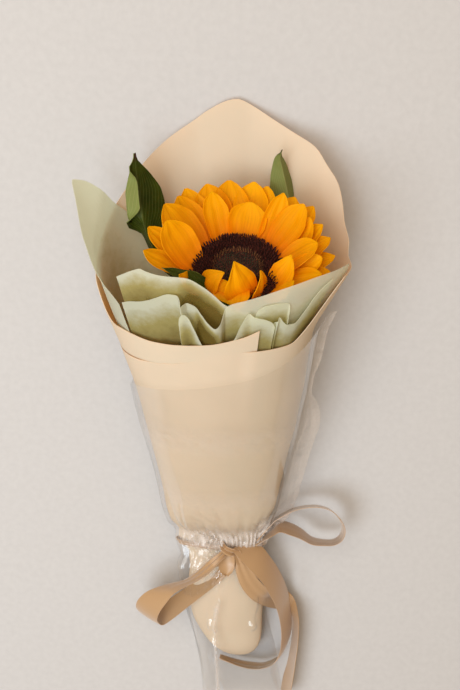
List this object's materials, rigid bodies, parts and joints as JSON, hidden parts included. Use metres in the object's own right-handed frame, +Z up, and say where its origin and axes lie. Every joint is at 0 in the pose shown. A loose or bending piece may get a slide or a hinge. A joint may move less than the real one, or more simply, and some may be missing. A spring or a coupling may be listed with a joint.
{
  "type": "sunflower bouquet",
  "caption": "Sunflower bouquet lying down: golden flower with leaves and green tissue in a rolled cream paper cone, clear film and a tan satin bow.",
  "frame": {"origin": "middle of the flat strip of film that the bouquet lies on", "axes": "+Y along the bouquet from the tied tail to the flower, +X to its right seen from the front, +Z up"},
  "size_m": [0.1858, 0.4847, 0.1235],
  "materials": {
    "film": "gloss",
    "paper": "matte",
    "tissue": "matte",
    "disc": "matte",
    "petals": "satin",
    "stem": "satin",
    "leaf": "satin",
    "satin": "satin"
  },
  "bodies": {
    "root": {"film_wrap": "film", "paper_wrap": "paper", "tissue_left": "tissue", "tissue_front": "tissue", "tissue_ruffle": "tissue", "flower_disc": "disc", "ray_petals": "petals", "stem_and_calyx": "stem", "leaf_left": "leaf", "leaf_right": "leaf", "leaf_low": "leaf", "ribbon": "satin"}
  },
  "joints": []
}
